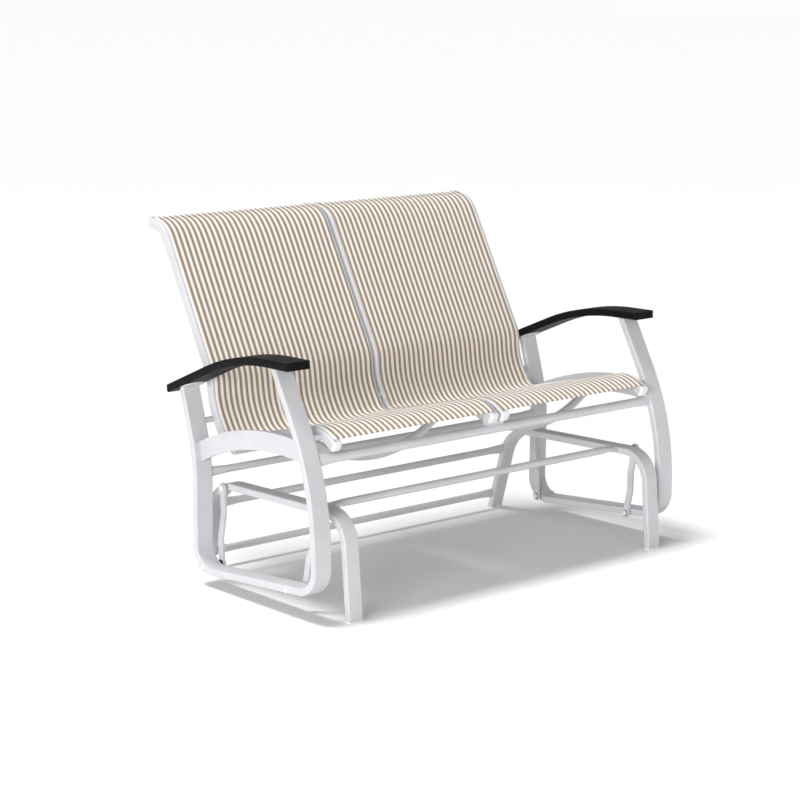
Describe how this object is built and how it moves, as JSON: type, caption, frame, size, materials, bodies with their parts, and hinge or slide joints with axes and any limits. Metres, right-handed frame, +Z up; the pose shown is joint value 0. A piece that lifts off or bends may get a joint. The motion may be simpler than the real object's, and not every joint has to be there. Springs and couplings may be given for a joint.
{
  "type": "glider bench",
  "caption": "Two-seat glider bench: a sling seat on two looped arm frames hangs by flat links from a tubular base and swings fore and aft.",
  "frame": {"origin": "centre of the bounding box's bottom face, on the floor", "axes": "+X along the bench to the sitter's left, -Y to the front, +Z up"},
  "size_m": [1.27, 0.8681, 0.9427],
  "materials": {
    "powder_coated_frame": "white powder coat, fine texture",
    "arm_polymer": "matte black",
    "sling_fabric": "woven, tan and white stripes",
    "steel_fasteners": "plated",
    "black_plastic": "matte",
    "white_plastic": "matte"
  },
  "bodies": {
    "base": {"base_frame_left": "powder_coated_frame", "base_frame_right": "powder_coated_frame", "foot_plugs": "white_plastic", "base_front_bar": "powder_coated_frame", "base_rear_upper_bar": "powder_coated_frame", "base_rear_lower_bar": "powder_coated_frame", "front_bar_screws": "steel_fasteners", "pivot_inserts": "steel_fasteners", "upper_pivot_bolts": "steel_fasteners"},
    "rear_links": {"rear_link_left": "powder_coated_frame", "rear_link_right": "powder_coated_frame", "rear_link_bushings": "black_plastic"},
    "front_links": {"front_link_left": "powder_coated_frame", "front_link_right": "powder_coated_frame", "front_link_bushings": "black_plastic"},
    "seat": {"arm_frame_left": "powder_coated_frame", "arm_frame_right": "powder_coated_frame", "side_brace_left": "powder_coated_frame", "side_brace_right": "powder_coated_frame", "armrest_plate_left": "powder_coated_frame", "armrest_plate_right": "powder_coated_frame", "seat_front_rail": "powder_coated_frame", "seat_rear_rail": "powder_coated_frame", "outer_rail_left": "powder_coated_frame", "outer_rail_right": "powder_coated_frame", "centre_rail_left": "powder_coated_frame", "centre_rail_right": "powder_coated_frame", "front_spreader_left": "powder_coated_frame", "front_spreader_right": "powder_coated_frame", "back_spreader_left": "powder_coated_frame", "back_spreader_right": "powder_coated_frame", "rear_seat_bar": "powder_coated_frame", "rail_spacers": "powder_coated_frame", "centre_spacer": "powder_coated_frame", "centre_saddle": "powder_coated_frame", "armrest_left": "arm_polymer", "armrest_right": "arm_polymer", "sling_left": "sling_fabric", "sling_right": "sling_fabric", "lower_pivot_bolts": "steel_fasteners", "lower_pivot_nuts": "steel_fasteners", "armrest_screws": "steel_fasteners", "rail_bolts": "steel_fasteners", "rail_nuts": "steel_fasteners", "centre_bolt": "steel_fasteners", "rail_end_caps": "white_plastic"}
  },
  "joints": [
    {"name": "glide", "type": "hinge", "parent": "base", "child": "rear_links", "pos_m": [0, 0.094, 0.2535], "axis": [1, 0, 0], "range_deg": [-12, 12]},
    {"name": "seat_pivot", "type": "hinge", "parent": "rear_links", "child": "seat", "pos_m": [0, 0.091, 0.0515], "axis": [1, 0, 0], "range_deg": [-13.7, 13.7]},
    {"name": "front_link_swing", "type": "hinge", "parent": "base", "child": "front_links", "pos_m": [0, -0.3275, 0.264], "axis": [1, 0, 0], "range_deg": [-12.6, 12.6]}
  ],
  "couplings": [
    {"joint": "seat_pivot", "follows": "glide", "ratio": -1.1367},
    {"joint": "front_link_swing", "follows": "glide", "ratio": 1.0393}
  ]
}
